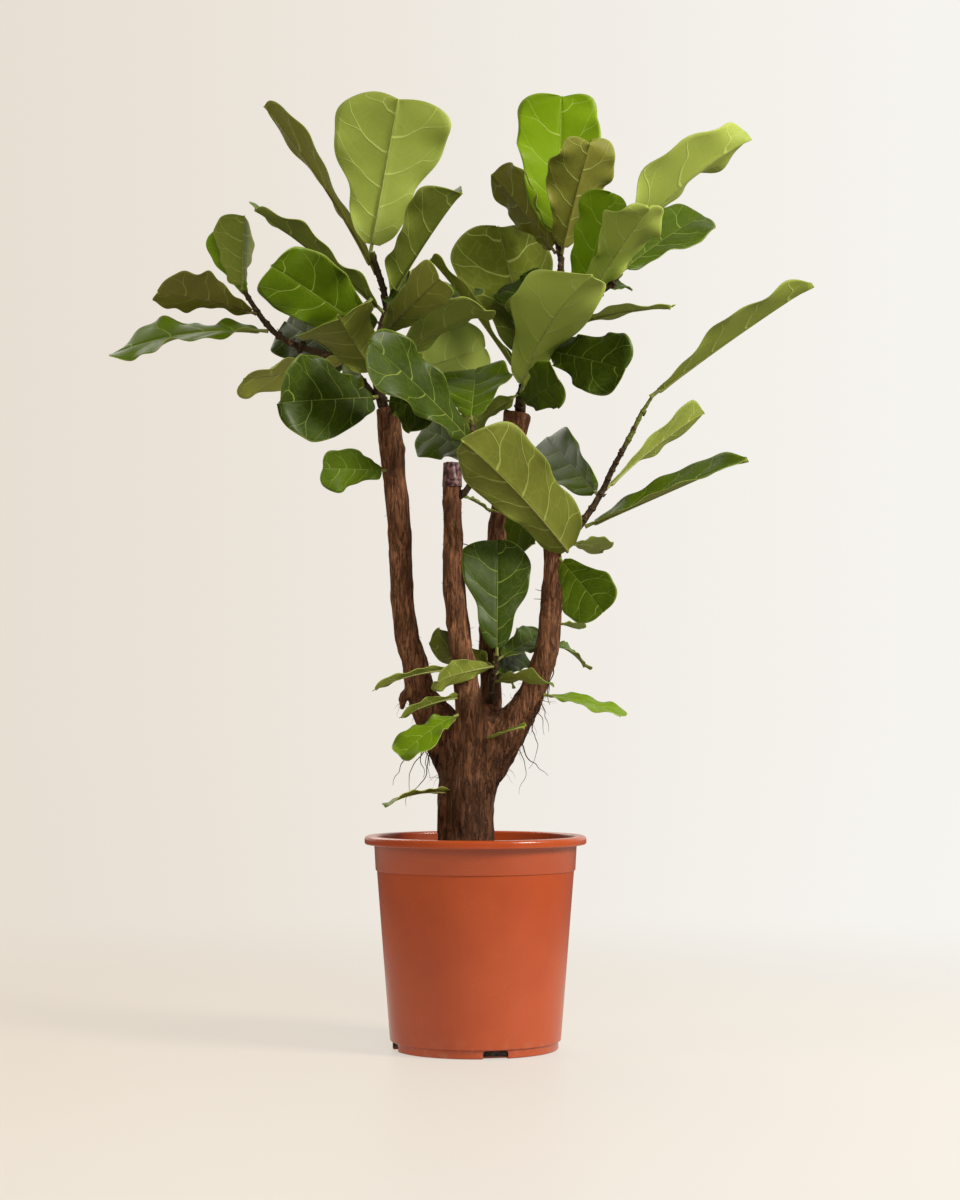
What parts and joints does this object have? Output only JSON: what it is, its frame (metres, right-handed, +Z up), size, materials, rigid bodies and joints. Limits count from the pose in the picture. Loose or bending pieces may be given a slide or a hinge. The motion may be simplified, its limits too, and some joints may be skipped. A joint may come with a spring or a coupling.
{
  "type": "potted fiddle leaf fig",
  "caption": "Branched fiddle leaf fig with pruned woody stems and broad lyre-shaped leaves, growing in a round plastic nursery pot with a rolled lip.",
  "frame": {"origin": "middle of the pot's flat base, on the surface that it stands on", "axes": "+Z up along the trunk, -Y towards the front, +X to the right"},
  "size_m": [1.105, 0.4829, 1.57],
  "materials": {
    "pot_plastic": "semi-gloss terracotta-coloured moulded plastic",
    "soil": "dark crumbly potting mix",
    "bark": "fissured brown bark",
    "pruning_wax": "glossy dark purple-brown wax",
    "twig": "dark scaly young bark",
    "leaf": "leathery leaf, glossy dark green above, matt yellow-green below"
  },
  "bodies": {
    "root": {"pot": "pot_plastic", "soil": "soil", "trunk": "bark", "stem_left": "bark", "stem_middle": "bark", "stem_back": "bark", "stem_right": "bark", "wax_cap": "pruning_wax", "shoot_left_crown": "twig", "shoot_left_branch": "twig", "shoot_middle": "twig", "shoot_back_crown": "twig", "shoot_back_branch": "twig", "shoot_right": "twig", "shoot_low": "twig", "left_leaf_1": "leaf", "left_leaf_2": "leaf", "left_leaf_3": "leaf", "left_leaf_4": "leaf", "left_leaf_5": "leaf", "left_leaf_6": "leaf", "left_leaf_7": "leaf", "left_leaf_8": "leaf", "left_leaf_9": "leaf", "left_leaf_10": "leaf", "left_leaf_11": "leaf", "left_leaf_12": "leaf", "left_leaf_13": "leaf", "left_leaf_14": "leaf", "left_leaf_15": "leaf", "left_leaf_16": "leaf", "left_leaf_17": "leaf", "left_leaf_18": "leaf", "middle_leaf_1": "leaf", "middle_leaf_2": "leaf", "middle_leaf_3": "leaf", "middle_leaf_4": "leaf", "middle_leaf_5": "leaf", "middle_leaf_6": "leaf", "middle_leaf_7": "leaf", "right_leaf_1": "leaf", "right_leaf_2": "leaf", "right_leaf_3": "leaf", "back_leaf_1": "leaf", "back_leaf_2": "leaf", "back_leaf_3": "leaf", "back_leaf_4": "leaf", "back_leaf_5": "leaf", "back_leaf_6": "leaf", "back_leaf_7": "leaf", "back_leaf_8": "leaf", "back_leaf_9": "leaf", "back_leaf_10": "leaf", "back_leaf_11": "leaf", "back_leaf_12": "leaf", "back_leaf_13": "leaf", "back_leaf_14": "leaf", "low_leaf_1": "leaf", "low_leaf_2": "leaf", "low_leaf_3": "leaf"}
  },
  "joints": []
}
